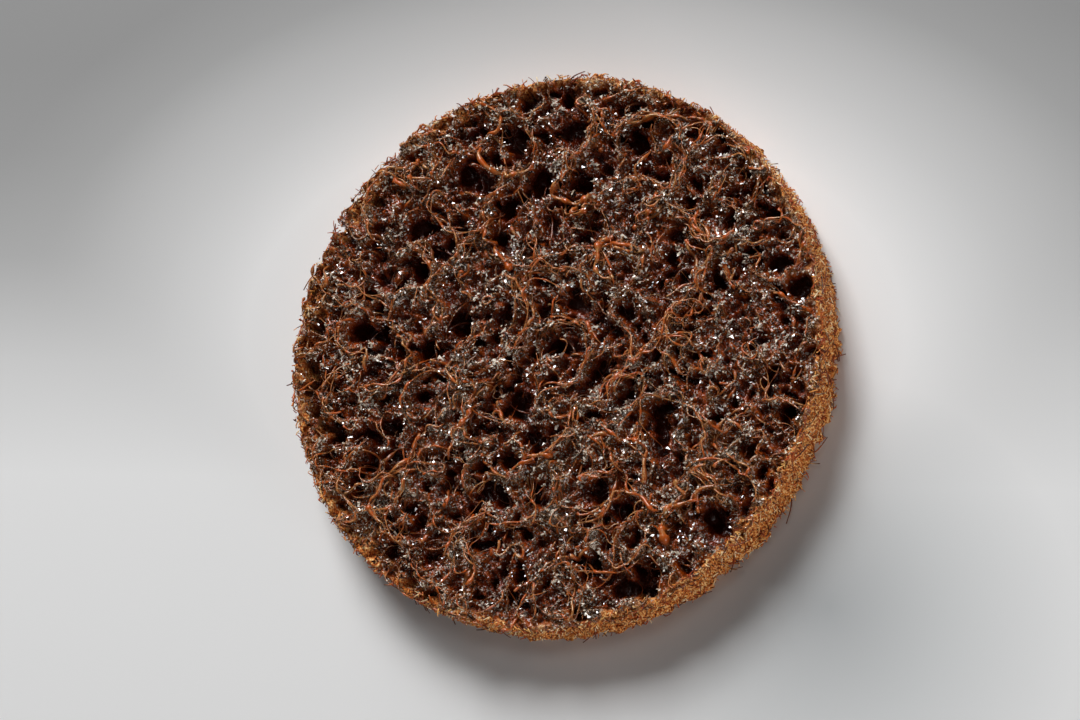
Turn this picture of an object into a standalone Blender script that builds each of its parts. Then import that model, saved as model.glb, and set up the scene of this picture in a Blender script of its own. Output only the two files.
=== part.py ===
"""A surface conditioning disc: one round pad, cut from a sheet of bonded abrasive fibre web.

The abrasive face is a tangle of curled fibres around dark open pits, and here both stand in the
relief of one closed solid. The rim is the felted cut through the web, and the back is flat. The
origin is the centre of the back, and +Z points out of the abrasive face. Lengths are in metres.
"""

import math

import bmesh
import bpy
import numpy as np
from mathutils import Vector, noise

OBJECT_NAME = "conditioning_disc"

# The pad: a two-inch disc of quarter-inch web
DISC_DIAMETER = 0.0508
DISC_THICKNESS = 0.0062

# The pits between the fibres
PIT_SPACING = 0.0030
PIT_DEPTH = 0.0024
NARROWEST_PIT = 0.0013
WIDEST_PIT = 0.0028
LONGEST_PIT_RATIO = 1.7
SHALLOWEST_SHARE = 0.15

# The curled fibres that stand out of the face
STRAND_SPACING = 0.0050
STRAND_WIDTH = 0.0007
STRAND_HEIGHT = 0.0007
TIGHTEST_CURL = 0.0015
WIDEST_CURL = 0.0045
SHORTEST_SWEEP = math.radians(110)
LONGEST_SWEEP = math.radians(310)

# The broad unevenness of the web, and the ragged cut edge
FACE_WAVE_LENGTH = 0.0075
FACE_WAVE_HEIGHT = 0.0004
RIM_LUMP_SIZE = 0.0016
RIM_LUMP_DEPTH = 0.0005
EDGE_BREAK = 0.0004

# How finely the surface is divided: rings on the face, rows down the rim
FACE_RINGS = 38
RIM_ROWS = 5

# How far a scattered point is pushed off its grid, as a share of the grid's spacing
SCATTER_PUSH = 0.4
# How near to a fibre's crest a point has to lie to be drawn onto it, as a share of a ring's width
CREST_REACH = 0.4

PIT_SEED = 11
STRAND_SEED = 23

# Linear red, green, blue and opacity of the abrasive face, and of the cut edge with the back
FACE_COLOUR = (0.075, 0.036, 0.022, 1.0)
RIM_COLOUR = (0.240, 0.115, 0.048, 1.0)
FACE_ROUGHNESS = 0.6
RIM_ROUGHNESS = 0.9

# The outward directions of half of a hexagon's sides, which face their opposites
HEXAGON_SIDES = [Vector((math.cos(turn), math.sin(turn), 0)) for turn in (0, math.pi / 3, 2 * math.pi / 3)]
HEXAGON_INRADIUS = math.cos(math.pi / 6)


def clear_scene():
    for old in list(bpy.data.objects):
        bpy.data.objects.remove(old, do_unlink=True)


def scatter(rng, spacing, radius):
    """Points about one spacing apart inside a circle: a triangular grid, each point pushed off its place."""
    row_step = spacing * math.sqrt(3) / 2
    rows = math.ceil(radius / row_step)
    columns = math.ceil(radius / spacing)
    points = []
    for row in range(-rows, rows + 1):
        for column in range(-columns - 1, columns + 1):
            push_x, push_y = rng.uniform(-SCATTER_PUSH, SCATTER_PUSH, 2)
            x = (column + row % 2 / 2 + push_x) * spacing
            y = row * row_step + push_y * spacing
            if math.hypot(x, y) < radius:
                points.append((x, y))
    return points


def make_pits():
    """Each pit is its centre, the half length and half width of its mouth, its direction and its depth."""
    rng = np.random.default_rng(PIT_SEED)
    pits = []
    for x, y in scatter(rng, PIT_SPACING, DISC_DIAMETER / 2 - NARROWEST_PIT):
        half_width = rng.uniform(NARROWEST_PIT, WIDEST_PIT) / 2
        half_length = half_width * rng.uniform(1, LONGEST_PIT_RATIO)
        direction = rng.uniform(0, math.pi)
        depth = PIT_DEPTH * rng.uniform(SHALLOWEST_SHARE, 1)
        pits.append((x, y, half_length, half_width, direction, depth))
    return pits


def make_strands():
    """Each curled fibre is an arc that lies in the face: centre, radius, start and sweep."""
    rng = np.random.default_rng(STRAND_SEED)
    strands = []
    for x, y in scatter(rng, STRAND_SPACING, DISC_DIAMETER / 2 - TIGHTEST_CURL):
        radius = rng.uniform(TIGHTEST_CURL, WIDEST_CURL)
        start = rng.uniform(0, 2 * math.pi)
        sweep = rng.uniform(SHORTEST_SWEEP, LONGEST_SWEEP)
        strands.append((x, y, radius, start, sweep))
    return strands


def pit_depth_at(x, y, pits):
    """How far the web lies below the face at this point."""
    deepest = 0.0
    for pit_x, pit_y, half_length, half_width, direction, depth in pits:
        away_x, away_y = x - pit_x, y - pit_y
        along = away_x * math.cos(direction) + away_y * math.sin(direction)
        across = away_y * math.cos(direction) - away_x * math.sin(direction)
        from_centre = math.hypot(along / half_length, across / half_width)
        if from_centre < 1:
            deepest = max(deepest, depth * (1 - from_centre**3))
    return deepest


def nearest_strand(x, y, strands):
    """The distance to the middle line of the nearest fibre, and the closest point on that line."""
    nearest = (math.inf, x, y)
    for centre_x, centre_y, radius, start, sweep in strands:
        away_x, away_y = x - centre_x, y - centre_y
        reach = math.hypot(away_x, away_y)
        turn = (math.atan2(away_y, away_x) - start) % (2 * math.pi)
        if turn < sweep and reach > 0 and abs(reach - radius) < nearest[0]:
            scale = radius / reach
            nearest = (abs(reach - radius), centre_x + away_x * scale, centre_y + away_y * scale)
    return nearest


def smooth_share(point):
    """A number from 0 to 1 that wanders smoothly from place to place."""
    return min(1.0, max(0.0, 0.5 + noise.noise(point)))


def wave_at(x, y):
    """How far the broad dips take the face down at this point."""
    return FACE_WAVE_HEIGHT * smooth_share(Vector((x, y, 0)) / FACE_WAVE_LENGTH)


def rim_dent_at(point):
    """How far the cut edge lies inside the full radius at this point."""
    return RIM_LUMP_DEPTH * smooth_share(point / RIM_LUMP_SIZE)


def ring_of(point):
    """Where a point of the unit hexagon lies between its centre, 0, and its outline, 1."""
    return max(abs(point.dot(side)) for side in HEXAGON_SIDES) / HEXAGON_INRADIUS


def add_face_grid(bm):
    """A flat disc of even triangles: a hexagon, divided and then drawn out to a circle."""
    bmesh.ops.create_circle(bm, cap_ends=True, cap_tris=True, segments=6, radius=1)
    bmesh.ops.subdivide_edges(bm, edges=bm.edges[:], cuts=FACE_RINGS - 1, use_grid_fill=True)
    for vertex in bm.verts:
        if vertex.co.length > 0:
            vertex.co = vertex.co.normalized() * ring_of(vertex.co) * DISC_DIAMETER / 2


def shape_face(bm, pits, strands):
    """Raises each point of the face to its height, and draws points close to a fibre onto its crest."""
    face_level = DISC_THICKNESS - STRAND_HEIGHT
    rim_radius = DISC_DIAMETER / 2
    reach = CREST_REACH * rim_radius / FACE_RINGS
    for vertex in bm.verts:
        on_rim = vertex.is_boundary
        x, y = vertex.co.x, vertex.co.y
        gap, crest_x, crest_y = nearest_strand(x, y, strands)
        if gap < reach and not on_rim and math.hypot(crest_x, crest_y) < rim_radius - reach:
            x, y, gap = crest_x, crest_y, 0.0
        crest_share = math.exp(-((2 * gap / STRAND_WIDTH) ** 2))
        drop = EDGE_BREAK if on_rim else pit_depth_at(x, y, pits)
        height = STRAND_HEIGHT * crest_share - drop * (1 - crest_share)
        vertex.co = (x, y, face_level - wave_at(x, y) + height)


def add_rim_and_back(bm):
    """Draws the outline of the face down to the back in rows, then closes the back."""
    outline = [edge for edge in bm.edges if edge.is_boundary]
    for row in range(RIM_ROWS):
        share_left = 1 - 1 / (RIM_ROWS - row)
        drawn = bmesh.ops.extrude_edge_only(bm, edges=outline)["geom"]
        outline = [item for item in drawn if isinstance(item, bmesh.types.BMEdge)]
        for vertex in {vertex for edge in outline for vertex in edge.verts}:
            vertex.co.z *= share_left
    bmesh.ops.contextual_create(bm, geom=outline)


def roughen_rim(bm):
    """Presses the lumps and hollows of the cut into the rim, back edge included."""
    between_outer_rings = DISC_DIAMETER / 2 * (1 - 0.5 / FACE_RINGS)
    for vertex in bm.verts:
        out = Vector((vertex.co.x, vertex.co.y, 0))
        if out.length > between_outer_rings:
            vertex.co -= out.normalized() * rim_dent_at(vertex.co)


def make_material(name, colour, roughness):
    material = bpy.data.materials.new(name)
    material.use_nodes = True
    shader = material.node_tree.nodes["Principled BSDF"]
    shader.inputs["Base Color"].default_value = colour
    shader.inputs["Roughness"].default_value = roughness
    shader.inputs["Metallic"].default_value = 0.0
    return material


def colour_faces(mesh):
    """The abrasive face takes the first material, and the rim and the back take the second."""
    mesh.materials.append(make_material("abrasive_web", FACE_COLOUR, FACE_ROUGHNESS))
    mesh.materials.append(make_material("cut_edge", RIM_COLOUR, RIM_ROUGHNESS))
    outermost = DISC_DIAMETER / 2 - RIM_LUMP_DEPTH
    for polygon in mesh.polygons:
        on_rim = polygon.normal.z < 0.5 and math.hypot(*polygon.center[:2]) > outermost
        polygon.material_index = int(on_rim or polygon.normal.z < -0.5)


def make_disc():
    bm = bmesh.new()
    add_face_grid(bm)
    shape_face(bm, make_pits(), make_strands())
    add_rim_and_back(bm)
    roughen_rim(bm)
    bmesh.ops.recalc_face_normals(bm, faces=bm.faces[:])
    mesh = bpy.data.meshes.new(OBJECT_NAME)
    bm.to_mesh(mesh)
    bm.free()
    colour_faces(mesh)
    mesh.shade_smooth()
    mesh.set_sharp_from_angle(angle=math.radians(60))
    return bpy.data.objects.new(OBJECT_NAME, mesh)


def main():
    clear_scene()
    collection = bpy.data.collections.new("surface_conditioning_disc")
    bpy.context.scene.collection.children.link(collection)
    collection.objects.link(make_disc())


main()
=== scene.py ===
"""The looks of the surface conditioning disc: its web, fibres, grit, felted rim and back.

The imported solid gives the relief. Every piece here is laid on that relief, so the pits and the
curled fibres of the render are where the solid has them. Lengths are in metres.
"""

import math

import bpy
import numpy as np
from mathutils import Matrix, Vector, noise
from mathutils.bvhtree import BVHTree


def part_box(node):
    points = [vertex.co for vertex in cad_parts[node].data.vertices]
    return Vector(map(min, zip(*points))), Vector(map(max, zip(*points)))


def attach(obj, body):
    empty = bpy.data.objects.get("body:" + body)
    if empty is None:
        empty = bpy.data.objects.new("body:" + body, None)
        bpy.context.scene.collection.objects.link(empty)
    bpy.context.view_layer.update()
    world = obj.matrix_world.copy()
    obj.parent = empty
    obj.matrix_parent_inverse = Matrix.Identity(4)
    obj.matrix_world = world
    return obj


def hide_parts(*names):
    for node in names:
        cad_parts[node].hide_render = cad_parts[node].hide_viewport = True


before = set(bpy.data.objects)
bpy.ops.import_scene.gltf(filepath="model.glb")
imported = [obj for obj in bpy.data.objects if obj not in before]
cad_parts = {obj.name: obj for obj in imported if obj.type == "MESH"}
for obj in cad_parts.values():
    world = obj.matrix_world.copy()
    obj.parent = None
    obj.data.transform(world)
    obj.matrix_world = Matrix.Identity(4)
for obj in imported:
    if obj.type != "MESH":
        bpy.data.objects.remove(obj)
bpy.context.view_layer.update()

cad_low, cad_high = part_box("conditioning_disc")
DISC_RADIUS = (cad_high.x - cad_low.x) / 2
TOP = cad_high.z

MM = 0.001

# The height map that the pieces are laid on
MAP_HALF = 26.5 * MM
MAP_PIXEL = 0.1 * MM
MAP_SIDE = round(2 * MAP_HALF / MAP_PIXEL)
MAP_RIM_INSET = 0.7 * MM
MAP_SEED = 5

# The bed of resin and grit under the fibres
BED_RINGS = 162
BED_RIM_ROWS = 12
BED_SINK = 0.40 * MM
BED_CLUMP = 0.45 * MM
BED_GRAIN = 0.30 * MM
BED_HOLE = 1.6 * MM
BED_TOP_INSET = 0.35 * MM
BACK_LEVEL = 0.12 * MM
PIT_FLOOR = 2.4 * MM

# A dip of the solid is a shallow one up to this depth, and a full pit this much deeper. The first share
# of its depth is kept everywhere, and the second comes on top of that in a pit
PIT_FROM = 1.05 * MM
PIT_OVER = 0.35 * MM
SHALLOW_SHARE = 0.25
PIT_SHARE = 0.85

# The depth under the top at which the colours for depth, which paint shade into the recesses, are at their
# end, on the bed and on other pieces
BED_DEPTH_SPAN = 3.0 * MM
DEPTH_SPAN = 2.5 * MM

# The cut edge: how high it stands, how far in it reaches and how lumpy it is
EDGE_LEVEL = TOP - 0.55 * MM
EDGE_WIDTH = 1.2 * MM
EDGE_LUMP = 0.30 * MM

# The resin drawn up along the fibres: how far it reaches, how steep it is, the widest gap it closes, and
# how far under a fibre's middle line it ends
FILLET_REACH = 0.40 * MM
FILLET_SLOPE = 1.5
FILLET_GAP = 0.8 * MM
FILLET_DROP = 0.04 * MM

# The curled strands of the solid's relief, which bold fibres follow here
STRAND_SPACING = 5.0 * MM
STRAND_HEIGHT = 0.7 * MM
TIGHTEST_CURL = 1.5 * MM
WIDEST_CURL = 4.5 * MM
SHORTEST_SWEEP = math.radians(110)
LONGEST_SWEEP = math.radians(310)
STRAND_SEED = 23
SCATTER_PUSH = 0.4
BOLD_WOBBLE = 0.9 * MM

# How the other fibres run: the share of them that close into loops, the share that turn along the edges of
# the pits, and how strongly those and the rest do so
LOOP_SHARE = 0.07
STEERED_SHARE = 0.75
STEERED, UNSTEERED = 0.9, 0.1

# Greyer stretches of the face, as place and half width in millimetres
GREY_SPOTS = [(0.5, 23.0, 4.0), (-11.0, -9.0, 7.0), (-2.0, -14.0, 6.0), (8.0, -4.0, 4.0), (15.0, -11.0, 3.0)]

# The sizes of the patterns in the materials
SKIN_GRAIN = 0.07 * MM
SKIN_SPECK = 0.11 * MM
SKIN_SHEEN_AND_DUST = 0.16 * MM
SKIN_PATCH = 0.6 * MM
BED_CELL = 0.11 * MM
BED_FACET = 0.33 * MM
BED_BUMP = 0.22 * MM
BED_PATCH = 0.7 * MM
GRIT_CLOUD = 0.1 * MM
FELT_GRAIN = 0.08 * MM
FELT_STAIN = 0.45 * MM
FELT_RUST = 0.8 * MM

# The camera looks along the photograph's direction: this far off the axis, towards this side
VIEW_TILT = math.radians(25.7)
VIEW_TURN = math.radians(-33)
VIEW_BACK = Vector((
    math.sin(VIEW_TILT) * math.cos(VIEW_TURN),
    math.sin(VIEW_TILT) * math.sin(VIEW_TURN),
    math.cos(VIEW_TILT),
))
VIEW_RIGHT = Vector((0, 1, 0)).cross(VIEW_BACK).normalized()
VIEW_UP = VIEW_BACK.cross(VIEW_RIGHT)

# The lens, and where the disc lies in the photograph
LENS = 100.0
SENSOR = 36.0
PHOTO_WIDTH_PX = 1080
PHOTO_HEIGHT_PX = 720
DISC_WIDTH_PX = 567.0
DISC_CENTRE_PX = (558.9, 354.1)

# Each lamp: its place, the side of its square and the share of full light that it gives the floor
LAMPS = {
    "key": ((-0.13, 0.60, 0.56), 0.34, 0.64),
    "rake": ((-0.24, 0.68, 0.32), 0.40, 0.15),
    "glint": ((0.12, 0.10, 0.55), 0.15, 0.07),
    "fill": ((0.46, -0.40, 0.12), 0.24, 0.085),
}

# The studio's dim surroundings: how much light they give, and how bright the camera sees them
WORLD_LIGHT = 0.015
WORLD_SEEN = 0.55

# The floor, as grey levels of 0 to 255: it darkens up the picture as a painted falloff of light, and a
# painted pool of light lies around the disc
FLOOR_HALF = 1.5
BACKDROP_SPAN = 30 * MM
BACKDROP_GREYS = [(0.32, 226), (0.5, 205), (0.675, 170), (0.85, 147), (1.0, 135)]
POOL_CENTRE = (-1 * MM, 2.5 * MM, 0)
POOL_SQUEEZE = (0.67, 1, 0)
POOL_INNER = 20 * MM
POOL_OUTER = 45 * MM
POOL_GREYS = [(0.0, 228), (0.26, 199), (0.44, 180), (0.6, 157), (0.85, 135)]
POOL_BLEND = 0.2

# The soft painted shadow at the lower right of the disc, in linear tones from its middle outwards
SHADE_CENTRE = (22 * MM, -21 * MM, 0)
SHADE_RADIUS = 20 * MM
SHADE_TONES = [(0.0, (0.55, 0.57, 0.58, 1)), (0.5, (0.785, 0.80, 0.805, 1)), (1.0, (1, 1, 1, 1))]


def srgb(red, green, blue):
    """A colour written as 0 to 255, as linear red, green, blue and opacity."""
    parts = [part / 255 for part in (red, green, blue)]
    linear = [part / 12.92 if part <= 0.04045 else ((part + 0.055) / 1.055) ** 2.4 for part in parts]
    return (*linear, 1.0)


# Height map

def read_height(node):
    """The height of the solid's upper side over a square grid, with the rim's height carried outwards."""
    mesh = node.data
    tree = BVHTree.FromPolygons([v.co for v in mesh.vertices], [p.vertices[:] for p in mesh.polygons])
    highest = max(v.co.z for v in mesh.vertices) + MM
    edge = DISC_RADIUS - MAP_RIM_INSET
    heights = np.empty((MAP_SIDE, MAP_SIDE))
    for row in range(MAP_SIDE):
        y = (row + 0.5) * MAP_PIXEL - MAP_HALF
        for column in range(MAP_SIDE):
            x = (column + 0.5) * MAP_PIXEL - MAP_HALF
            inward = min(1.0, edge / max(math.hypot(x, y), 1e-9))
            hit = tree.ray_cast(Vector((x * inward, y * inward, highest)), Vector((0, 0, -1)))
            heights[row, column] = hit[0].z
    return heights


def wander(rng, cell):
    """A smooth random map from -1 to 1, whose lumps lie about one cell apart."""
    count = int(2 * MAP_HALF / cell) + 3
    corners = rng.uniform(-1, 1, (count, count))
    place = np.arange(MAP_SIDE) * (MAP_PIXEL / cell)
    low = place.astype(int)
    part = place - low
    part = part * part * (3 - 2 * part)
    rows = corners[low] * (1 - part[:, None]) + corners[low + 1] * part[:, None]
    return rows[:, low] * (1 - part) + rows[:, low + 1] * part


def place_maps():
    """The x and the y of each pixel of a map."""
    place = (np.arange(MAP_SIDE) + 0.5) * MAP_PIXEL - MAP_HALF
    return np.meshgrid(place, place)


def grey_map(rng):
    """Where grit and dust make the face greyer, from 0 to 1."""
    x_map, y_map = place_maps()
    grey = np.clip(wander(rng, 5 * MM) * 0.5 + wander(rng, 1.5 * MM) * 0.6, 0, 1) * 0.6
    for x, y, half_width in GREY_SPOTS:
        away = np.hypot(x_map - x * MM, y_map - y * MM) / (half_width * MM)
        grey = np.maximum(grey, np.clip(1.2 - away, 0, 1) * (0.6 + 0.4 * wander(rng, 0.9 * MM)))
    return np.clip(grey, 0, 1)


def blurred(field, times):
    """A map with each pixel averaged with its neighbours, this many times."""
    for _ in range(times):
        for axis in (0, 1):
            field = (np.roll(field, 1, axis) + 2 * field + np.roll(field, -1, axis)) / 4
    return field


def surface_map(rng, height):
    """The clumped resin and grit between the fibres: shallow dips filled, and pits cut crisply."""
    level = TOP - STRAND_HEIGHT - 0.2 * MM
    below = np.maximum(level - blurred(height, 2) + wander(rng, 0.8 * MM) * 0.25 * MM, 0)
    share = np.clip((below - PIT_FROM) / PIT_OVER, 0, 1)
    crisp = level - below * (SHALLOW_SHARE + PIT_SHARE * share * share * (3 - 2 * share))
    clumps = wander(rng, 1.1 * MM) * 0.6 + wander(rng, 0.6 * MM) * 0.5
    holes = np.clip(wander(rng, 0.75 * MM) + 0.4 * wander(rng, 2.5 * MM) - 0.20, 0, 0.5)
    grains = wander(rng, 0.28 * MM)
    surface = crisp - BED_SINK + clumps * BED_CLUMP + grains * BED_GRAIN - holes * 2 * BED_HOLE
    reach = np.hypot(*place_maps())
    ragged = 0.7 * wander(rng, 0.8 * MM) + 0.8 * wander(rng, 2.2 * MM)
    edge = np.clip((reach - DISC_RADIUS) / EDGE_WIDTH + 1.0 + ragged, 0, 1)
    edge = edge * edge * (3 - 2 * edge) * 0.85
    lumps = wander(rng, 1.3 * MM) * 0.9 + wander(rng, 0.5 * MM) * 0.9
    return surface * (1 - edge) + (EDGE_LEVEL + lumps * EDGE_LUMP) * edge


def draw_up(surface, fibres):
    """Raises the surface towards each fibre that passes close above it, as resin drawn up along it."""
    raised = surface.copy()
    for paths, widths in fibres:
        half_way = (paths[:, 1:] + paths[:, :-1]) / 2
        x, y, z = np.concatenate([paths.reshape(-1, 3), half_way.reshape(-1, 3)]).T
        column = ((x + MAP_HALF) / MAP_PIXEL).astype(int)
        row = ((y + MAP_HALF) / MAP_PIXEL).astype(int)
        close = z - surface[row, column] < FILLET_GAP
        column, row, z = column[close], row[close], z[close]
        window = round(FILLET_REACH / MAP_PIXEL)
        for down in range(-window, window + 1):
            for across in range(-window, window + 1):
                away = math.hypot(down, across) * MAP_PIXEL
                if away <= FILLET_REACH:
                    level = z - FILLET_DROP - FILLET_SLOPE * away
                    np.maximum.at(raised, (row + down, column + across), level)
    return raised


def sample(field, x, y):
    """Reads a map at many points, between its pixels."""
    column = np.clip((x + MAP_HALF) / MAP_PIXEL - 0.5, 0, MAP_SIDE - 1.001)
    row = np.clip((y + MAP_HALF) / MAP_PIXEL - 0.5, 0, MAP_SIDE - 1.001)
    left, low = column.astype(int), row.astype(int)
    across, up = column - left, row - low
    lower = field[low, left] * (1 - across) + field[low, left + 1] * across
    upper = field[low + 1, left] * (1 - across) + field[low + 1, left + 1] * across
    return lower * (1 - up) + upper * up


# Meshes

def depth_of(z, span=DEPTH_SPAN):
    """How deep this height lies under the top, from 0 to 1."""
    return np.clip((TOP - z) / span, 0, 1)


def stacked(first, second, third):
    """Three values at each point, as the opaque colour from which the materials read them."""
    return np.stack([first, second, third, np.ones_like(third)], axis=-1)


def add_piece(name, points, faces, material, colours, smooth=True):
    """A new mesh object that rides on the body, with the values for its material at each point."""
    mesh = bpy.data.meshes.new(name)
    mesh.from_pydata(points.reshape(-1, 3).tolist(), [], faces)
    mesh.polygons.foreach_set("use_smooth", [smooth] * len(mesh.polygons))
    layer = mesh.color_attributes.new("mix", "FLOAT_COLOR", "POINT")
    layer.data.foreach_set("color", colours.reshape(-1, 4).ravel())
    mesh.materials.append(material)
    mesh.update()
    piece = bpy.data.objects.new(name, mesh)
    bpy.context.scene.collection.objects.link(piece)
    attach(piece, "root")
    return piece


def smoothed(values, times):
    """Each row averaged with its neighbours along the fibre."""
    for _ in range(times):
        padded = np.concatenate([values[:, :1], values, values[:, -1:]], axis=1)
        values = (padded[:, :-2] + 2 * padded[:, 1:-1] + padded[:, 2:]) / 4
    return values


def tube_mesh(paths, radii, sides):
    """Closed tubes along many paths at once. Paths are (fibre, step, xyz) and radii are (fibre, step)."""
    count, steps = radii.shape
    along = np.gradient(paths, axis=1)
    along /= np.linalg.norm(along, axis=2, keepdims=True) + 1e-12
    up = np.zeros_like(along)
    up[..., 2] = 1
    steep = np.abs(along[..., 2:]) > 0.95
    up = np.where(steep, np.array([1.0, 0, 0]), up)
    right = np.cross(along, up)
    right /= np.linalg.norm(right, axis=2, keepdims=True)
    over = np.cross(right, along)
    turn = np.arange(sides) * (2 * math.pi / sides) + math.pi / sides
    ring = right[:, :, None] * np.cos(turn)[:, None] + over[:, :, None] * np.sin(turn)[:, None]
    body = paths[:, :, None] + ring * radii[:, :, None, None]
    tips = paths[:, [0, -1]] + along[:, [0, -1]] * radii[:, [0, -1], None] * np.array([-0.6, 0.6])[:, None]
    points = np.concatenate([body.reshape(count, steps * sides, 3), tips], axis=1)

    step, side = np.meshgrid(np.arange(steps - 1), np.arange(sides), indexing="ij")
    here = step * sides + side
    beside = step * sides + (side + 1) % sides
    quads = np.stack([here, beside, beside + sides, here + sides], axis=-1).reshape(-1, 4)
    first = np.arange(sides)
    start = np.stack([np.full(sides, steps * sides), (first + 1) % sides, first], axis=-1)
    last = (steps - 1) * sides
    end = np.stack([np.full(sides, steps * sides + 1), last + first, last + (first + 1) % sides], axis=-1)
    per_fibre = steps * sides + 2
    offsets = np.arange(count) * per_fibre
    all_quads = (quads[None] + offsets[:, None, None]).reshape(-1, 4)
    caps = np.concatenate([start, end])
    all_caps = (caps[None] + offsets[:, None, None]).reshape(-1, 3)
    return points, all_quads.tolist() + all_caps.tolist()


def tube_colours(values, sides):
    """Spreads a colour for each fibre's step over the points of tube_mesh."""
    count, steps, channels = values.shape
    body = np.repeat(values, sides, axis=1)
    return np.concatenate([body, values[:, [0, -1]]], axis=1).reshape(-1, channels)


# Fibres

def bends(rng, count, steps):
    """How each fibre bends at each step: slowly changing, with some that close into loops."""
    bend = smoothed(rng.normal(0, 1, (count, steps)), 6) * 3.2 + rng.normal(0, 0.8, (count, 1))
    loops = rng.random((count, 1)) < LOOP_SHARE
    return np.where(loops, np.sign(bend[:, :1]) * (1.5 + 0.35 * bend), bend)


def curling_paths(rng, count, steps, step_length, curl):
    """Plane paths that curl, each with its middle at 0."""
    turned = np.cumsum(bends(rng, count, steps) * step_length / curl, axis=1)
    heading = rng.uniform(0, 2 * math.pi, (count, 1)) + turned
    x = np.cumsum(np.cos(heading) * step_length, axis=1)
    y = np.cumsum(np.sin(heading) * step_length, axis=1)
    middle = steps // 2
    return x - x[:, middle : middle + 1], y - y[:, middle : middle + 1]


def steered_paths(rng, count, steps, step_length, curl):
    """Plane paths all over the face that turn along the edges of its pits."""
    x, y = spread(rng, count, DISC_RADIUS - 0.3 * MM)
    heading = rng.uniform(0, 2 * math.pi, count)
    bend = bends(rng, count, steps) * step_length / curl
    steering = np.where(rng.random(count) < STEERED_SHARE, STEERED, UNSTEERED)
    places = []
    for step in range(steps):
        slope_x, slope_y = sample(SLOPE_X, x, y), sample(SLOPE_Y, x, y)
        off_level = (np.arctan2(slope_x, -slope_y) - heading + math.pi / 2) % math.pi - math.pi / 2
        pull = np.minimum(0.5, np.hypot(slope_x, slope_y) * steering)
        heading = heading + bend[:, step] + off_level * pull
        x = x + (np.cos(heading) + slope_x * steering * 0.5) * step_length
        y = y + (np.sin(heading) + slope_y * steering * 0.5) * step_length
        places.append((x, y))
    both = np.array(places)
    return both[:, 0].T, both[:, 1].T


def spread(rng, count, radius):
    """Random points spread evenly over a circle."""
    reach = radius * np.sqrt(rng.random(count))
    turn = rng.uniform(0, 2 * math.pi, count)
    return reach * np.cos(turn), reach * np.sin(turn)


def beads(rng, count, steps, share, swell):
    """How much resin sits on each step of each fibre: 0 for none, 1 in the middle of a bead."""
    resin = (rng.random((count, steps)) < share) * rng.uniform(0.4, 1, (count, steps))
    return np.clip(smoothed(resin, 1) * swell, 0, 1)


def scatter(rng, spacing, radius):
    """Points about one spacing apart inside a circle, as the solid scatters its strands."""
    row_step = spacing * math.sqrt(3) / 2
    rows = math.ceil(radius / row_step)
    columns = math.ceil(radius / spacing)
    points = []
    for row in range(-rows, rows + 1):
        for column in range(-columns - 1, columns + 1):
            push_x, push_y = rng.uniform(-SCATTER_PUSH, SCATTER_PUSH, 2)
            x = (column + row % 2 / 2 + push_x) * spacing
            y = row * row_step + push_y * spacing
            if math.hypot(x, y) < radius:
                points.append((x, y))
    return points


def strand_arcs(steps):
    """Plane paths along the middle lines of the curled strands in the solid's relief."""
    rng = np.random.default_rng(STRAND_SEED)
    ends = np.random.default_rng(STRAND_SEED + 1)
    turns = []
    for x, y in scatter(rng, STRAND_SPACING, DISC_RADIUS - TIGHTEST_CURL):
        radius = rng.uniform(TIGHTEST_CURL, WIDEST_CURL)
        start = rng.uniform(0, 2 * math.pi)
        sweep = rng.uniform(SHORTEST_SWEEP, LONGEST_SWEEP)
        first, shown = ends.uniform(0, 0.4), ends.uniform(0.4, 0.75)
        turn = start + sweep * np.linspace(first, min(1, first + shown), steps)
        turns.append((x + radius * np.cos(turn), y + radius * np.sin(turn)))
    both = np.array(turns)
    return both[:, 0], both[:, 1]


def bold_fibres(name, seed, steps, radius, lift, sides, material, bead_share):
    """Bold fibres that lie on the crests of the solid's curled strands."""
    rng = np.random.default_rng(seed)
    x, y = strand_arcs(steps)
    count = len(x)
    x = x + smoothed(rng.normal(0, 1, (count, steps)), 14) * BOLD_WOBBLE
    y = y + smoothed(rng.normal(0, 1, (count, steps)), 14) * BOLD_WOBBLE
    inside = np.hypot(x, y).max(axis=1) < DISC_RADIUS - 0.2 * MM
    x, y = x[inside], y[inside]
    return lay_fibres(name, rng, x, y, radius, lift, sides, material, bead_share)


def fibre_layer(name, seed, count, steps, step_length, curl, radius, lift, sides, material, bead_share):
    """A layer of curled fibres all over the face."""
    rng = np.random.default_rng(seed)
    x, y = steered_paths(rng, count, steps, step_length, curl)
    return lay_fibres(name, rng, x, y, radius, lift, sides, material, bead_share)


def lay_fibres(name, rng, x, y, radius, lift, sides, material, bead_share):
    """Fibres that follow the relief along these plane paths, bridge its pits and carry beads of resin."""
    count, steps = x.shape
    reach = np.hypot(x, y)
    limit = DISC_RADIUS - 0.25 * MM + rng.normal(0, 0.15 * MM, (count, 1))
    pull = np.minimum(1, limit / reach)
    x, y = x * pull, y * pull
    ground = sample(HEIGHT, x, y)
    bridged = np.maximum(smoothed(ground, 10), smoothed(ground, 2))
    weave = smoothed(rng.normal(0, 1, (count, steps)), 5) * 0.6 * MM
    z = bridged + lift + rng.normal(0, 0.15 * MM, (count, 1)) + weave
    z = np.minimum(z, TOP - radius)
    resin = beads(rng, count, steps, bead_share, 2.0)
    uneven = 1 + 0.5 * smoothed(rng.normal(0, 1, (count, steps)), 1)
    width = radius * rng.lognormal(0, 0.35, (count, 1)) * np.clip(uneven, 0.6, 1.5) * (1 + 1.0 * resin)
    paths = np.stack([x, y, z], axis=-1)
    points, faces = tube_mesh(paths, width, sides)
    tint = np.broadcast_to(rng.random((count, 1)), (count, steps))
    add_piece(name, points, faces, material, tube_colours(stacked(resin, tint, depth_of(z)), sides))
    return paths, width


# Materials

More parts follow.
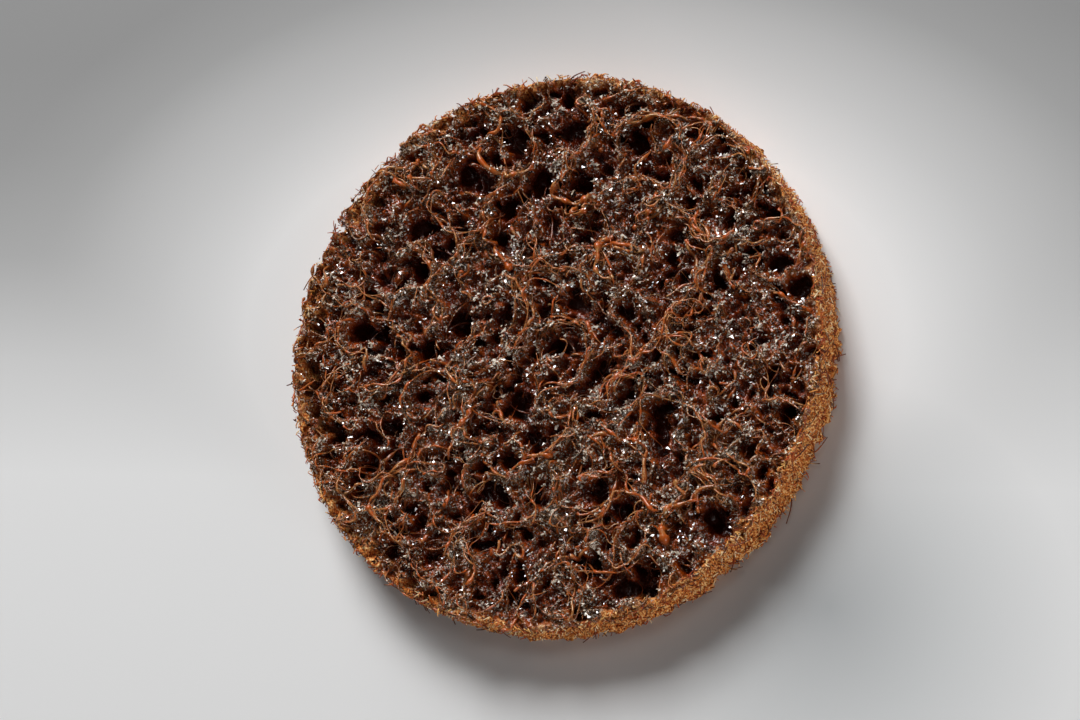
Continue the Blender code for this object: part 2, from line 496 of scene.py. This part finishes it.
class Nodes:
    """A short way to write a material's nodes."""

    def __init__(self, name):
        self.material = bpy.data.materials.new(name)
        self.material.use_nodes = True
        self.tree = self.material.node_tree
        self.shader = self.tree.nodes["Principled BSDF"]

    def add(self, kind, inputs=None, **settings):
        """A node of this kind, with these inputs linked or set."""
        node = self.tree.nodes.new(kind)
        for key, value in settings.items():
            setattr(node, key, value)
        for key, value in (inputs or {}).items():
            self.set(node, key, value)
        return node

    def set(self, node, key, value):
        if isinstance(value, bpy.types.NodeSocket):
            self.tree.links.new(value, node.inputs[key])
        else:
            node.inputs[key].default_value = value

    def noise(self, vector, size, detail=4.0, roughness=0.6):
        """Noise whose lumps are about this size in metres."""
        inputs = {"Vector": vector, "Scale": 1 / size, "Detail": detail, "Roughness": roughness}
        return self.add("ShaderNodeTexNoise", inputs).outputs["Fac"]

    def ramp(self, factor, *stops):
        """Colours between which the factor moves, as pairs of place and colour."""
        node = self.add("ShaderNodeValToRGB", {"Fac": factor})
        elements = node.color_ramp.elements
        while len(elements) < len(stops):
            elements.new(0.5)
        for element, (place, colour) in zip(elements, stops):
            element.position = place
            element.color = colour
        return node.outputs["Color"]

    def mix(self, factor, first, second, blend_type="MIX"):
        node = self.add("ShaderNodeMix", data_type="RGBA", blend_type=blend_type)
        self.set(node, 0, factor)
        self.set(node, 6, first)
        self.set(node, 7, second)
        return node.outputs[2]

    def map(self, value, low, high, to_low=0.0, to_high=1.0):
        inputs = {"Value": value, "From Min": low, "From Max": high, "To Min": to_low, "To Max": to_high}
        return self.add("ShaderNodeMapRange", inputs).outputs[0]

    def place(self):
        return self.add("ShaderNodeTexCoord").outputs["Object"]

    def bump(self, height, strength, distance):
        inputs = {"Height": height, "Strength": strength, "Distance": distance}
        return self.add("ShaderNodeBump", inputs).outputs[0]

    def cells(self, vector, size):
        """Random colours, each the same all over one small cell."""
        return self.add("ShaderNodeTexVoronoi", {"Vector": vector, "Scale": 1 / size}).outputs["Color"]

    def part(self, colour, channel):
        return self.add("ShaderNodeSeparateColor", {"Color": colour}).outputs[channel]

    def sparkle(self, cells, strength, normal):
        """Tilts the surface its own way in each cell, as the facets of small grains do."""
        tilt = self.vector("SUBTRACT", cells, (0.5, 0.5, 0.5))
        scaled = self.add("ShaderNodeVectorMath", {0: tilt, "Scale": strength}, operation="SCALE").outputs[0]
        return self.vector("NORMALIZE", self.vector("ADD", normal, scaled))

    def upward(self, normal, low, high):
        """0 where the surface leans over, 1 where it faces up."""
        return self.map(self.add("ShaderNodeSeparateXYZ", {"Vector": normal}).outputs["Z"], low, high)

    def vector(self, operation, *parts, output="Vector"):
        """A step of vector arithmetic."""
        return self.add("ShaderNodeVectorMath", dict(enumerate(parts)), operation=operation).outputs[output]

    def number(self, operation, *parts):
        """A step of arithmetic."""
        return self.add("ShaderNodeMath", dict(enumerate(parts)), operation=operation).outputs[0]

    def finish(self, **sockets):
        """Links or sets the inputs of the material's shader."""
        names = {"colour": "Base Color", "roughness": "Roughness", "normal": "Normal", "coat": "Coat Weight",
                 "ior": "IOR", "specular": "Specular IOR Level"}
        for key, value in sockets.items():
            self.set(self.shader, names[key], value)
        return self.material


def mixed_colours(n):
    """The three values that each point of a piece carries."""
    attribute = n.add("ShaderNodeAttribute", attribute_name="mix").outputs[0]
    return n.add("ShaderNodeSeparateColor", {"Color": attribute}).outputs


def fibre_material(name, fibre_colours, sheen_and_dust_colour, resin_colour, deep_shade_colour, roughness):
    """Fibre skin: saturated sides, a pale top of painted sheen and dust, redder beads, darker down in the web
    as painted shade.
    """
    n = Nodes(name)
    resin, tint, depth = mixed_colours(n)
    place = n.place()
    fine = n.noise(place, SKIN_GRAIN)
    normal = n.bump(fine, 0.8, 0.04 * MM)
    low, middle, high = fibre_colours
    own = n.ramp(tint, (0.0, low), (0.5, middle), (1.0, high))
    patchy = n.mix(n.map(n.noise(place, SKIN_PATCH), 0.50, 0.62), own, resin_colour)
    specks = n.mix(n.map(n.noise(place, SKIN_SPECK), 0.55, 0.62), patchy, srgb(84, 28, 2))
    # Where the skin faces up it turns paler in patches: a painted sheen of the overhead lamps, with pale dust
    sheen_and_dust_patches = n.map(n.noise(place, SKIN_SHEEN_AND_DUST), 0.42, 0.60)
    sheen_and_dust_top = n.mix(n.number("MULTIPLY", n.upward(normal, 0.6, 0.97), sheen_and_dust_patches), specks, sheen_and_dust_colour)
    beaded = n.mix(n.map(resin, 0.15, 0.7, 0, 0.85), sheen_and_dust_top, resin_colour)
    # Darker with depth in the web: painted shade
    depth_shaded = n.mix(n.map(depth, 0.3, 0.75), beaded, deep_shade_colour)
    uneven = n.map(fine, 0.3, 0.7, roughness - 0.05, roughness + 0.2)
    return n.finish(colour=depth_shaded, roughness=uneven, normal=normal, coat=0.8, specular=0.2)


def bed_material():
    """Resin and grit: orange red on the walls of the pits and dark red at their bottom, a painted glow and
    shade, and paler on upward facets as a painted sheen with dust.
    """
    n = Nodes("resin_bed")
    rim, grey, depth = mixed_colours(n)
    place = n.place()
    cells = n.cells(place, BED_CELL)
    bumped = n.bump(n.noise(place, BED_BUMP, 2.0), 1.0, 0.25 * MM)
    facets = n.sparkle(n.cells(place, BED_FACET), n.map(depth, 0.1, 0.6, 0.9, 0.2), bumped)
    normal = n.sparkle(cells, n.map(depth, 0.1, 0.6, 0.7, 0.15), facets)
    patch = n.ramp(
        n.noise(place, BED_PATCH),
        (0.36, srgb(74, 24, 1)), (0.46, srgb(138, 74, 18)), (0.55, srgb(108, 64, 22)),
        (0.66, srgb(58, 18, 1)),
    )
    own = n.ramp(
        n.part(cells, 0),
        (0.0, srgb(36, 8, 0)), (0.48, srgb(56, 17, 1)), (0.55, srgb(98, 51, 12)),
        (0.70, srgb(121, 83, 34)), (0.77, srgb(206, 176, 134)), (0.84, srgb(255, 240, 218)),
    )
    side = n.mix(0.55, patch, own)
    # Facets that face up take a paler, greyer tone: a painted sheen, with dust where the face is greyer
    crown = n.mix(n.map(grey, 0, 1, 0.25, 0.9), own, srgb(166, 142, 109))
    high = n.mix(n.upward(normal, 0.72, 0.99), side, crown)
    # Colours by depth: an orange glow painted on the pit walls, and painted shade darkening towards their
    # bottom
    walls = n.ramp(
        depth,
        (0.25, srgb(166, 80, 14)), (0.38, srgb(146, 60, 7)), (0.52, srgb(114, 37, 2)),
        (0.70, srgb(66, 13, 0)),
    )
    depth_shaded = n.mix(n.map(depth, 0.2, 0.36), high, walls)
    felt = n.ramp(
        n.noise(place, BED_BUMP, 3.0),
        (0.38, srgb(70, 22, 2)), (0.45, srgb(184, 86, 20)), (0.55, srgb(222, 142, 62)),
        (0.64, srgb(250, 212, 150)),
    )
    return n.finish(
        colour=n.mix(rim, depth_shaded, felt), roughness=n.map(rim, 0, 1, 0.16, 0.85), normal=normal,
        coat=n.map(rim, 0, 0.5, 0.9, 0), specular=0.3,
    )


def crumb_material():
    """Crusted bits: dark brown, rust, tan and pale, with a resin gloss."""
    n = Nodes("crumb")
    tint, grey, depth = mixed_colours(n)
    cells = n.cells(n.place(), BED_CELL)
    smooth_normal = n.add("ShaderNodeNewGeometry").outputs["Normal"]
    normal = n.sparkle(cells, 0.7, smooth_normal)
    own = n.ramp(
        tint,
        (0.0, srgb(40, 9, 0)), (0.60, srgb(58, 18, 1)), (0.64, srgb(104, 53, 9)), (0.69, srgb(124, 80, 30)),
        (0.72, srgb(190, 156, 108)), (0.78, srgb(255, 238, 212)), (1.0, srgb(255, 246, 226)),
    )
    greyed = n.mix(n.map(grey, 0, 1, 0, 0.45), own, srgb(176, 158, 130))
    # Faces that look up turn paler: a painted sheen, with dust
    sheen_and_dust_top = n.mix(n.map(n.upward(normal, 0.8, 1.0), 0, 1, 0, 0.35), greyed, srgb(186, 158, 120))
    speckled = n.mix(n.map(n.part(cells, 1), 0.5, 0.7), sheen_and_dust_top, srgb(60, 19, 1))
    # Darker with depth: painted shade
    depth_shaded = n.mix(n.map(depth, 0.34, 0.60), speckled, srgb(92, 38, 4))
    return n.finish(colour=depth_shaded, roughness=0.16, normal=normal, coat=0.9, specular=0.3)


def grit_material():
    """Glassy grains, most of them brown, and some pale."""
    n = Nodes("grit")
    tint, grey, depth = mixed_colours(n)
    own = n.ramp(
        tint,
        (0.0, srgb(34, 7, 0)), (0.60, srgb(52, 16, 1)), (0.63, srgb(98, 53, 16)), (0.66, srgb(126, 91, 48)),
        (0.70, srgb(246, 232, 208)), (1.0, srgb(255, 246, 230)),
    )
    greyed = n.mix(n.map(grey, 0, 1, 0, 0.4), own, srgb(178, 162, 138))
    cloudy = n.mix(n.map(n.noise(n.place(), GRIT_CLOUD), 0.52, 0.8), greyed, srgb(104, 50, 16))
    # Darker with depth: painted shade
    depth_shaded = n.mix(n.map(depth, 0.38, 0.60), cloudy, srgb(70, 25, 2))
    return n.finish(colour=depth_shaded, roughness=n.map(tint, 0, 1, 0.07, 0.14), ior=2.2)


def felt_material():
    """The cut ends of the fibres: tan to orange brown, and dull."""
    n = Nodes("cut_fibre")
    dark, tint, _ = mixed_colours(n)
    place = n.place()
    own = n.ramp(
        tint,
        (0.12, srgb(84, 26, 2)), (0.28, srgb(176, 72, 12)), (0.5, srgb(226, 140, 52)),
        (0.68, srgb(246, 190, 108)), (0.85, srgb(255, 232, 186)),
    )
    rusty = n.mix(n.map(n.noise(place, FELT_RUST), 0.53, 0.60), own, srgb(176, 66, 12))
    patchy = n.mix(n.map(n.noise(place, FELT_STAIN), 0.56, 0.62), rusty, srgb(84, 34, 6))
    tipped = n.mix(n.map(dark, 0.1, 0.9), patchy, srgb(96, 46, 18))
    fine = n.noise(place, FELT_GRAIN)
    normal = n.bump(fine, 0.5, 0.03 * MM)
    return n.finish(colour=tipped, roughness=n.map(fine, 0.3, 0.7, 0.5, 0.9), normal=normal)


# Pieces

def disc_grid(rings):
    """An even grid of triangles over the unit circle: its points, its triangles and its outline."""
    points = [np.zeros((1, 2))]
    faces = []
    starts = [0, 1]
    for ring in range(1, rings + 1):
        turn = np.arange(6 * ring) * (2 * math.pi / (6 * ring))
        points.append(np.stack([np.cos(turn), np.sin(turn)], axis=1) * ring / rings)
        starts.append(starts[-1] + 6 * ring)
        outer, inner = starts[ring], starts[ring - 1]
        side, place = np.divmod(np.arange(6 * ring), ring)
        this = outer + np.arange(6 * ring)
        following = outer + (np.arange(6 * ring) + 1) % (6 * ring)
        inner_count = max(1, 6 * (ring - 1))
        below = inner + (side * (ring - 1) + place) % inner_count
        below_next = inner + (side * (ring - 1) + place + 1) % inner_count
        faces.append(np.stack([this, following, below], axis=1))
        between = place < ring - 1
        faces.append(np.stack([below, following, below_next], axis=1)[between])
    outline = np.arange(starts[rings], starts[rings + 1])
    return np.concatenate(points), np.concatenate(faces), outline


def rim_dent(x, y, z):
    """How far the felt of the rim lies in at this place."""
    broad = noise.noise(Vector((x, y, z * 0.4)) / (2.4 * MM))
    middling = noise.noise(Vector((x, y, z)) / (0.9 * MM))
    fine = noise.noise(Vector((x, y, z)) / (0.4 * MM))
    return (0.38 + 0.5 * broad + 0.5 * middling + 0.34 * fine) * MM


def make_bed():
    """The closed body under the fibres: pitted face, lumpy rim and flat back."""
    flat, faces, outline = disc_grid(BED_RINGS)
    xy = flat * (DISC_RADIUS - BED_TOP_INSET)
    z = sample(SURFACE, xy[:, 0], xy[:, 1])
    top = np.column_stack([xy, z])
    rows = [top]
    quads = []
    previous = outline
    turn = np.arctan2(xy[outline, 1], xy[outline, 0])
    for row in range(1, BED_RIM_ROWS + 1):
        share = row / BED_RIM_ROWS
        level = z[outline] * (1 - share) + BACK_LEVEL * share
        ring = []
        for angle, height in zip(turn, level):
            x, y = DISC_RADIUS * math.cos(angle), DISC_RADIUS * math.sin(angle)
            out = DISC_RADIUS - rim_dent(x, y, height)
            ring.append((out * math.cos(angle), out * math.sin(angle), height))
        rows.append(np.array(ring))
        current = len(top) + (row - 1) * len(outline) + np.arange(len(outline))
        quads.append(np.stack([previous, current, np.roll(current, -1), np.roll(previous, -1)], axis=1))
        previous = current
    points = np.concatenate(rows)
    all_faces = faces.tolist() + np.concatenate(quads).tolist() + [previous[::-1].tolist()]
    x, y, z = points.T
    far_side = np.clip(-(points[:, :2] @ np.array(VIEW_RIGHT.xy)) / DISC_RADIUS, 0, 1)
    band = (1.25 + 0.95 * far_side) * MM
    on_rim = np.clip((np.hypot(x, y) - DISC_RADIUS) / band + 0.9 + 1.1 * sample(RAGGED, x, y), 0, 1)
    on_rim[len(top) :] = 1
    colours = stacked(on_rim, sample(GREYNESS, x, y), depth_of(z, BED_DEPTH_SPAN))
    bed = add_piece("web_bed", points, all_faces, bed_material(), colours)
    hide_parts("conditioning_disc")


GRAIN_CORNERS = np.array([[1, 1, 1], [1, -1, -1], [-1, 1, -1], [-1, -1, 1]], float)
GRAIN_FACES = np.array([[0, 1, 2], [0, 3, 1], [0, 2, 3], [1, 3, 2]])


def add_grains(name, rng, places, size):
    """Sharp-edged grains of these sizes at these places, some of them long, each turned its own way."""
    count = len(places)
    stretch = rng.uniform(0.4, 0.9, (count, 1, 3)) * (1 + 2.4 * rng.random((count, 1, 1)) ** 2 * (1, 0, 0))
    corners = (GRAIN_CORNERS[None] + rng.normal(0, 0.2, (count, 4, 3))) * stretch
    corners = np.einsum("nij,nkj->nki", random_turns(rng, count), corners) * size[:, None, None]
    faces = (GRAIN_FACES[None] + (np.arange(count) * 4)[:, None, None]).reshape(-1, 3)
    x, y, z = places.T
    pale = np.clip(rng.random(count) + 0.5 * sample(PALENESS, x, y), 0, 1)
    colours = np.repeat(stacked(pale, sample(GREYNESS, x, y), depth_of(z)), 4, axis=0)
    add_piece(name, corners + places[:, None], faces.tolist(), MATERIALS["grit"], colours, smooth=False)


def make_grit(name, seed, count, smallest, largest, clusters):
    """Grains heaped in clusters on the bed."""
    rng = np.random.default_rng(seed)
    x, y, bed = on_clumps(rng, count, clusters, 1.0 * MM)
    size = rng.uniform(smallest, largest, len(x))
    z = np.minimum(bed + size * 0.3 + rng.exponential(0.10 * MM, len(x)), TOP - size)
    add_grains(name, rng, np.column_stack([x, y, z]), size)


def encrust(name, seed, fibres, count, smallest, largest):
    """Grains stuck to the fibres, on stretches between cleaner ones."""
    rng = np.random.default_rng(seed)
    paths = np.concatenate([path.reshape(-1, 3) for path, _ in fibres])
    widths = np.concatenate([width.ravel() for _, width in fibres])
    crusty = sample(PALENESS, paths[:, 0], paths[:, 1]) > -0.1
    paths, widths = paths[crusty], widths[crusty]
    chosen = rng.integers(0, len(paths), count)
    away = rng.normal(0, 1, (count, 3))
    away /= np.linalg.norm(away, axis=1, keepdims=True)
    away[:, 2] = np.abs(away[:, 2])
    along = rng.uniform(-0.13, 0.13, (count, 3)) * MM
    size = rng.uniform(smallest, largest, count)
    places = paths[chosen] + away * widths[chosen, None] + along * (1, 1, 0)
    places[:, 2] = np.minimum(places[:, 2], TOP - size)
    inside = np.hypot(places[:, 0], places[:, 1]) < DISC_RADIUS - 0.1 * MM
    add_grains(name, rng, places[inside], size[inside])


def on_clumps(rng, count, clusters, tightness):
    """Places heaped in clusters on the face, with the height of the bed there."""
    home_x, home_y = spread(rng, clusters, DISC_RADIUS - 0.5 * MM)
    chosen = rng.integers(0, clusters, count)
    reach = rng.uniform(0.3, 1.0, clusters)[chosen] * tightness
    x = home_x[chosen] + rng.normal(0, 1, count) * reach
    y = home_y[chosen] + rng.normal(0, 1, count) * reach
    z = sample(SURFACE, x, y)
    inside = np.hypot(x, y) < DISC_RADIUS - rng.uniform(0.2, 1.5, count) * MM
    kept = inside & (z > TOP - PIT_FLOOR * rng.uniform(0.6, 0.9, count))
    return x[kept], y[kept], z[kept]


def make_crumbs(name, seed, count, clusters, steps, radius, sides):
    """Short crooked bits of fibre and resin, crusted onto the bed."""
    rng = np.random.default_rng(seed)
    x0, y0, z0 = on_clumps(rng, count, clusters, 0.9 * MM)
    count = len(x0)
    x, y = curling_paths(rng, count, steps, 0.14 * MM, 0.4 * MM)
    x, y = x + x0[:, None], y + y0[:, None]
    z = 0.5 * sample(SURFACE, x, y) + 0.5 * z0[:, None]
    z = z + rng.exponential(0.14 * MM, (count, 1)) + rng.normal(0, 0.05 * MM, (count, steps))
    z = np.minimum(z, TOP - 2 * radius)
    taper = 0.5 + 0.5 * np.sin(np.linspace(0.25, math.pi - 0.25, steps))
    width = radius * rng.lognormal(0, 0.35, (count, 1)) * taper
    points, faces = tube_mesh(np.stack([x, y, z], axis=-1), width, sides)
    pale = np.clip(rng.random((count, 1)) + 0.5 * sample(PALENESS, x, y), 0, 1)
    colours = stacked(pale, sample(GREYNESS, x, y), depth_of(z))
    add_piece(name, points, faces, MATERIALS["crumb"], tube_colours(colours, sides))


def random_turns(rng, count):
    """Rotation matrices in random directions."""
    q = rng.normal(0, 1, (count, 4))
    q /= np.linalg.norm(q, axis=1, keepdims=True)
    w, x, y, z = q.T
    rows = [
        [1 - 2 * (y * y + z * z), 2 * (x * y - z * w), 2 * (x * z + y * w)],
        [2 * (x * y + z * w), 1 - 2 * (x * x + z * z), 2 * (y * z - x * w)],
        [2 * (x * z - y * w), 2 * (y * z + x * w), 1 - 2 * (x * x + y * y)],
    ]
    return np.array(rows).transpose(2, 0, 1)


def add_felt(name, paths, width, sides, tint, dark):
    """Cut fibres along these paths: each has its own tint, and each of its steps is this dark."""
    points, faces = tube_mesh(paths, width, sides)
    tint, dark, unused = np.broadcast_arrays(tint[:, None], dark, np.zeros(width.shape))
    add_piece(name, points, faces, MATERIALS["felt"], tube_colours(stacked(dark, tint, unused), sides))


def make_rim_felt(name, seed, count, steps, sides):
    """Short cut fibres that bristle from the rim or lie along it."""
    rng = np.random.default_rng(seed)
    turn = rng.uniform(0, 2 * math.pi, count)
    z0 = rng.uniform(0.05 * MM, EDGE_LEVEL + 0.2 * MM, count)
    dent = np.array([
        rim_dent(DISC_RADIUS * math.cos(a), DISC_RADIUS * math.sin(a), z) for a, z in zip(turn, z0)
    ])
    out = DISC_RADIUS - np.maximum(dent, 0.02 * MM) - 0.12 * MM
    radial = np.stack([np.cos(turn), np.sin(turn), 0 * turn], axis=1)
    sideways = np.stack([-np.sin(turn), np.cos(turn), 0 * turn], axis=1)
    lying = rng.random(count) < 0.45
    push = np.where(lying, rng.uniform(0.05, 0.35, count), rng.uniform(0.6, 1.2, count))
    heading = radial * push[:, None] + sideways * rng.normal(0, 0.8, (count, 1))
    heading[:, 2] += rng.normal(0, 0.6, count)
    heading /= np.linalg.norm(heading, axis=1, keepdims=True)
    bend = rng.normal(0, 0.45, (count, 3))
    length = rng.uniform(0.35, 0.85, count) * MM
    share = np.linspace(0, 1, steps)
    paths = radial[:, None] * out[:, None, None] + np.array([0, 0, 1]) * z0[:, None, None]
    paths = paths + heading[:, None] * (length[:, None] * share)[..., None]
    paths = paths + bend[:, None] * (length[:, None] * share**2 * 0.5)[..., None]
    reach = np.hypot(paths[..., 0], paths[..., 1])
    limit = DISC_RADIUS + rng.exponential(0.06 * MM, (count, 1))
    paths[..., :2] *= np.minimum(1, limit / reach)[..., None]
    paths[..., 2] = np.clip(paths[..., 2], 0.1 * MM, TOP - 0.2 * MM)
    width = rng.uniform(0.04, 0.08, (count, 1)) * MM * (1.1 - 0.5 * share)
    clump = np.array([0.5 + 1.4 * noise.noise(Vector(start) / (0.6 * MM)) for start in paths[:, 0]])
    add_felt(name, paths, width, sides, np.clip(0.6 * clump + 0.4 * rng.random(count), 0, 1), 0.0)


def make_strays(name, seed, count, steps, sides):
    """Cut fibre ends that stand out of the rim."""
    rng = np.random.default_rng(seed)
    turn = rng.normal(0, 1.0, count) + np.where(rng.random(count) < 0.6, -0.4, math.pi)
    z0 = rng.uniform(0.5 * MM, EDGE_LEVEL, count)
    length = (0.5 + rng.exponential(0.18, count)).clip(0, 1.0) * MM
    share = np.linspace(0, 1, steps)[None]
    lean = rng.normal(0, 1.6, (count, 1))
    rise = rng.normal(0, 0.4, (count, 1))
    out = DISC_RADIUS - 0.3 * MM + length[:, None] * share
    angle = turn[:, None] + lean * length[:, None] * share**1.6 / DISC_RADIUS
    z = np.maximum(z0[:, None] + rise * length[:, None] * share, 0.1 * MM)
    paths = np.stack([out * np.cos(angle), out * np.sin(angle), z], axis=-1)
    width = rng.uniform(0.05, 0.08, (count, 1)) * MM * (1.1 - 0.4 * share)
    add_felt(name, paths, width, sides, rng.random(count), share)


def make_back_felt(name, seed, count, steps, step_length, radius, sides):
    """Flattened fibres that lie on the back."""
    rng = np.random.default_rng(seed)
    x, y = curling_paths(rng, count, steps, step_length, 1.6 * MM)
    centre_x, centre_y = spread(rng, count, DISC_RADIUS - 1.5 * MM)
    x += centre_x[:, None]
    y += centre_y[:, None]
    pull = np.minimum(1, (DISC_RADIUS - 0.4 * MM) / np.hypot(x, y))
    z = radius + rng.uniform(0, 1, (count, 1)) * (BACK_LEVEL - radius) + np.zeros((1, steps))
    paths = np.stack([x * pull, y * pull, z], axis=-1)
    add_felt(name, paths, np.full((count, steps), radius), sides, rng.random(count), 0.0)


# Stage

def greys(levels):
    """The colours of a ramp of faintly cool greys."""
    return [(place, srgb(level, level, level + 1)) for place, level in levels]


def make_floor():
    """A pale seamless floor with a painted pool of light around the disc, a soft painted shadow at its lower
    right and a painted falloff of light up the picture.
    """
    mesh = bpy.data.meshes.new("floor")
    corners = [(side * FLOOR_HALF, end * FLOOR_HALF, 0) for side, end in ((-1, -1), (1, -1), (1, 1), (-1, 1))]
    mesh.from_pydata(corners, [], [(0, 1, 2, 3)])
    n = Nodes("paper")
    place = n.place()
    across = n.vector("DOT_PRODUCT", place, VIEW_RIGHT, output="Value")
    up = n.vector("DOT_PRODUCT", place, VIEW_UP, output="Value")
    in_view = n.add("ShaderNodeCombineXYZ", {"X": across, "Y": up}).outputs[0]
    from_pool = n.vector("MULTIPLY", n.vector("SUBTRACT", in_view, POOL_CENTRE), POOL_SQUEEZE)
    pool_reach = n.vector("LENGTH", from_pool, output="Value")
    shade_reach = n.vector("LENGTH", n.vector("SUBTRACT", in_view, SHADE_CENTRE), output="Value")
    # The floor's colour carries painted light: darker up the picture, a lighter pool round the disc, and a
    # painted shadow at the lower right
    backdrop = n.ramp(n.map(up, -BACKDROP_SPAN, BACKDROP_SPAN), *greys(BACKDROP_GREYS))
    pool = n.ramp(n.map(pool_reach, POOL_INNER, POOL_OUTER), *greys(POOL_GREYS))
    tone = n.number("SMOOTH_MAX", backdrop, pool, POOL_BLEND)
    shade = n.ramp(n.map(shade_reach, 0, SHADE_RADIUS), *SHADE_TONES)
    n.finish(colour=n.mix(1.0, tone, shade, blend_type="MULTIPLY"), roughness=0.9)
    mesh.materials.append(n.material)
    floor = bpy.data.objects.new("floor", mesh)
    bpy.context.scene.collection.objects.link(floor)


def add_lamp(name, place, side, share):
    """A square soft box that points at the disc and gives the floor this share of full light."""
    light = bpy.data.lights.new(name, "AREA")
    light.shape = "SQUARE"
    light.size = side
    towards = Vector(place)
    light.energy = share * math.pi**2 * towards.length**3 / towards.z
    lamp = bpy.data.objects.new(name, light)
    lamp.location = place
    lamp.rotation_mode = "QUATERNION"
    lamp.rotation_quaternion = towards.to_track_quat("Z", "Y")
    bpy.context.scene.collection.objects.link(lamp)


def make_light():
    """The lamps, and surroundings that are dim for the disc and pale for the camera."""
    for name, (place, side, share) in LAMPS.items():
        add_lamp(name, place, side, share)
    world = bpy.data.worlds.new("studio")
    world.use_nodes = True
    nodes, links = world.node_tree.nodes, world.node_tree.links
    background = nodes["Background"]
    background.inputs["Color"].default_value = (1, 1, 1, 1)
    light_path = nodes.new("ShaderNodeLightPath")
    strength = nodes.new("ShaderNodeMapRange")
    strength.inputs["To Min"].default_value = WORLD_LIGHT
    strength.inputs["To Max"].default_value = WORLD_SEEN
    links.new(light_path.outputs["Is Camera Ray"], strength.inputs["Value"])
    links.new(strength.outputs[0], background.inputs["Strength"])
    bpy.context.scene.world = world


def make_camera():
    """Looks at the disc from the photograph's side, and puts it at the photograph's place and size."""
    sensor_per_px = SENSOR / PHOTO_WIDTH_PX
    distance = 2 * DISC_RADIUS * LENS / (DISC_WIDTH_PX * sensor_per_px)
    metres_per_px = distance * sensor_per_px / LENS
    off_right = (DISC_CENTRE_PX[0] - PHOTO_WIDTH_PX / 2) * metres_per_px
    off_up = (PHOTO_HEIGHT_PX / 2 - DISC_CENTRE_PX[1]) * metres_per_px
    middle = Vector((0, 0, TOP / 2))
    camera_data = bpy.data.cameras.new("camera")
    camera_data.lens = LENS
    camera_data.sensor_width = SENSOR
    camera = bpy.data.objects.new("camera", camera_data)
    place = middle - VIEW_RIGHT * off_right - VIEW_UP * off_up + VIEW_BACK * distance
    turned = Matrix((VIEW_RIGHT, VIEW_UP, VIEW_BACK)).transposed().to_4x4()
    camera.matrix_world = Matrix.Translation(place) @ turned
    bpy.context.scene.collection.objects.link(camera)
    bpy.context.scene.camera = camera


HEIGHT = read_height(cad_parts["conditioning_disc"])
SLOPE_Y, SLOPE_X = np.gradient(blurred(HEIGHT, 16), MAP_PIXEL)
field_rng = np.random.default_rng(MAP_SEED)
SURFACE = surface_map(field_rng, HEIGHT)
RAGGED = wander(field_rng, 1.2 * MM) * 0.6 + wander(field_rng, 0.4 * MM) * 0.6
GREYNESS = grey_map(field_rng)
PALENESS = wander(field_rng, 1.4 * MM) * 0.6 + wander(field_rng, 0.6 * MM) * 0.7

MATERIALS = {
    "top": fibre_material(
        "top_fibre", (srgb(142, 62, 16), srgb(162, 84, 30), srgb(172, 112, 58)), srgb(198, 148, 94),
        srgb(178, 76, 16), srgb(100, 38, 6), 0.2,
    ),
    # The deep fibres take the top fibres' material in darker colours: painted shade for lying lower in the
    # web
    "deep": fibre_material(
        "deep_fibre", (srgb(102, 44, 8), srgb(126, 66, 20), srgb(138, 90, 42)), srgb(166, 124, 76),
        srgb(136, 61, 12), srgb(70, 24, 2), 0.28,
    ),
    "crumb": crumb_material(),
    "grit": grit_material(),
    "felt": felt_material(),
}

make_camera()
make_light()
make_floor()
bold = bold_fibres(
    "fibres_bold", seed=30, steps=34, radius=0.088 * MM, lift=-0.04 * MM, sides=5, material=MATERIALS["top"],
    bead_share=0.16,
)
top = fibre_layer(
    "fibres_top", seed=31, count=620, steps=24, step_length=0.26 * MM, curl=2.4 * MM, radius=0.053 * MM,
    lift=-0.06 * MM, sides=4, material=MATERIALS["top"], bead_share=0.13,
)
deep = fibre_layer(
    "fibres_deep", seed=32, count=520, steps=20, step_length=0.28 * MM, curl=2.2 * MM, radius=0.056 * MM,
    lift=-0.35 * MM, sides=3, material=MATERIALS["deep"], bead_share=0.12,
)
SURFACE = draw_up(SURFACE, (bold, top, deep))
make_bed()
make_crumbs("crumbs", seed=40, count=9800, clusters=1800, steps=4, radius=0.05 * MM, sides=3)
make_grit("grit_fine", seed=41, count=28000, smallest=0.04 * MM, largest=0.09 * MM, clusters=2200)
make_grit("grit_coarse", seed=42, count=18000, smallest=0.065 * MM, largest=0.14 * MM, clusters=1600)
encrust("grit_on_fibres", 43, (bold, top, deep), count=12000, smallest=0.035 * MM, largest=0.075 * MM)
make_rim_felt("rim_felt", seed=51, count=6400, steps=4, sides=3)
make_strays("cut_ends", seed=52, count=100, steps=6, sides=4)
make_back_felt("back_felt", seed=53, count=600, steps=12, step_length=0.6 * MM, radius=0.055 * MM, sides=3)

view = bpy.context.scene.view_settings
view.view_transform = "Standard"
